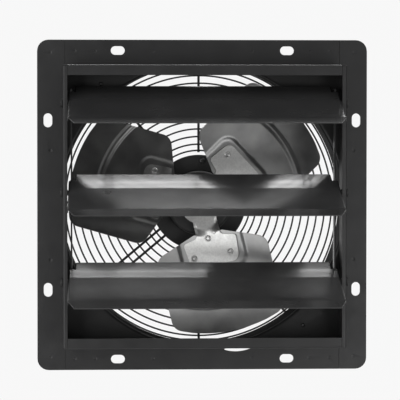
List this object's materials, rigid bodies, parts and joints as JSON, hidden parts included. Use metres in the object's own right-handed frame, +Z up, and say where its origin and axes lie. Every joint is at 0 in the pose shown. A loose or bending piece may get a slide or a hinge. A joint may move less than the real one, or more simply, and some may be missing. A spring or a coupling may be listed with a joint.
{
  "type": "shutter exhaust fan",
  "caption": "Wall exhaust fan with a square sheet steel frame, linked gravity louvres on the outdoor side, a three-blade fan on a small motor, and a wire guard.",
  "frame": {"origin": "centre of the frame's flat back face, which meets the wall", "axes": "+X to the right and +Z up as seen from outdoors, -Y out of the wall towards the viewer, +Y along the fan axis into the building"},
  "size_m": [0.38, 0.2506, 0.38],
  "materials": {
    "black_steel": "satin",
    "panel_black": "satin",
    "louvre_black": "semi-gloss",
    "guard_black": "satin",
    "motor_black": "satin",
    "blade_metal": "mill",
    "spider_metal": "zinc plated",
    "hub_metal": "turned",
    "shaft_steel": "ground",
    "pin_steel": "blackened",
    "lamination_steel": "raw",
    "winding_copper": "enamelled copper wire",
    "bearing_steel": "ground",
    "bush_plastic": "matte",
    "gland_rubber": "matte"
  },
  "bodies": {
    "frame": {"left_side_rail": "black_steel", "right_side_rail": "black_steel", "top_rail": "black_steel", "bottom_rail": "black_steel", "fan_panel": "panel_black", "pivot_bush_left_1": "bush_plastic", "pivot_bush_left_2": "bush_plastic", "pivot_bush_left_3": "bush_plastic", "pivot_bush_right_1": "bush_plastic", "pivot_bush_right_2": "bush_plastic", "pivot_bush_right_3": "bush_plastic", "wire_guard": "guard_black", "motor_support_wire_1": "guard_black", "motor_support_wire_2": "guard_black", "motor_support_wire_3": "guard_black", "motor_support_wire_4": "guard_black", "guard_screw_1": "pin_steel", "guard_screw_2": "pin_steel", "guard_screw_3": "pin_steel", "guard_screw_4": "pin_steel", "motor_screw_1": "pin_steel", "motor_screw_2": "pin_steel", "motor_screw_3": "pin_steel", "motor_screw_4": "pin_steel", "motor_plate": "motor_black", "motor_front_bell": "motor_black", "motor_shell": "motor_black", "motor_rear_bell": "motor_black", "front_bearing": "bearing_steel", "rear_bearing": "bearing_steel", "stator_core": "lamination_steel", "front_winding": "winding_copper", "rear_winding": "winding_copper", "cable_gland": "gland_rubber"},
    "rotor": {"fan_blade_1": "blade_metal", "fan_blade_2": "blade_metal", "fan_blade_3": "blade_metal", "fan_spider": "spider_metal", "fan_hub": "hub_metal", "hub_set_screw": "pin_steel", "motor_shaft": "shaft_steel", "rotor_core": "lamination_steel"},
    "louvre_1": {"louvre_1": "louvre_black", "pivot_pin_left_1": "pin_steel", "pivot_pin_right_1": "pin_steel", "tie_pin_left_1": "pin_steel", "tie_pin_right_1": "pin_steel"},
    "louvre_2": {"louvre_2": "louvre_black", "pivot_pin_left_2": "pin_steel", "pivot_pin_right_2": "pin_steel", "tie_pin_left_2": "pin_steel", "tie_pin_right_2": "pin_steel"},
    "louvre_3": {"louvre_3": "louvre_black", "pivot_pin_left_3": "pin_steel", "pivot_pin_right_3": "pin_steel", "tie_pin_left_3": "pin_steel", "tie_pin_right_3": "pin_steel"},
    "tie_rods": {"tie_rod_left": "louvre_black", "tie_rod_right": "louvre_black"}
  },
  "joints": [
    {"name": "fan_spin", "type": "hinge", "parent": "frame", "child": "rotor", "pos_m": [0, 0.03, 0], "axis": [0, 1, 0], "continuous": true},
    {"name": "louvre_2_hinge", "type": "hinge", "parent": "frame", "child": "louvre_2", "pos_m": [0, -0.046, 0.0159], "axis": [1, 0, 0], "range_deg": [-20, 62]},
    {"name": "louvre_1_hinge", "type": "hinge", "parent": "frame", "child": "louvre_1", "pos_m": [0, -0.046, 0.11665], "axis": [1, 0, 0], "range_deg": [-20, 62]},
    {"name": "louvre_3_hinge", "type": "hinge", "parent": "frame", "child": "louvre_3", "pos_m": [0, -0.046, -0.08485], "axis": [1, 0, 0], "range_deg": [-20, 62]},
    {"name": "tie_rod_hinge", "type": "hinge", "parent": "louvre_2", "child": "tie_rods", "pos_m": [0, -0.019, 0.0262], "axis": [1, 0, 0], "range_deg": [-62, 20]}
  ],
  "couplings": [
    {"joint": "louvre_1_hinge", "follows": "louvre_2_hinge", "ratio": 1},
    {"joint": "louvre_3_hinge", "follows": "louvre_2_hinge", "ratio": 1},
    {"joint": "tie_rod_hinge", "follows": "louvre_2_hinge", "ratio": -1}
  ]
}
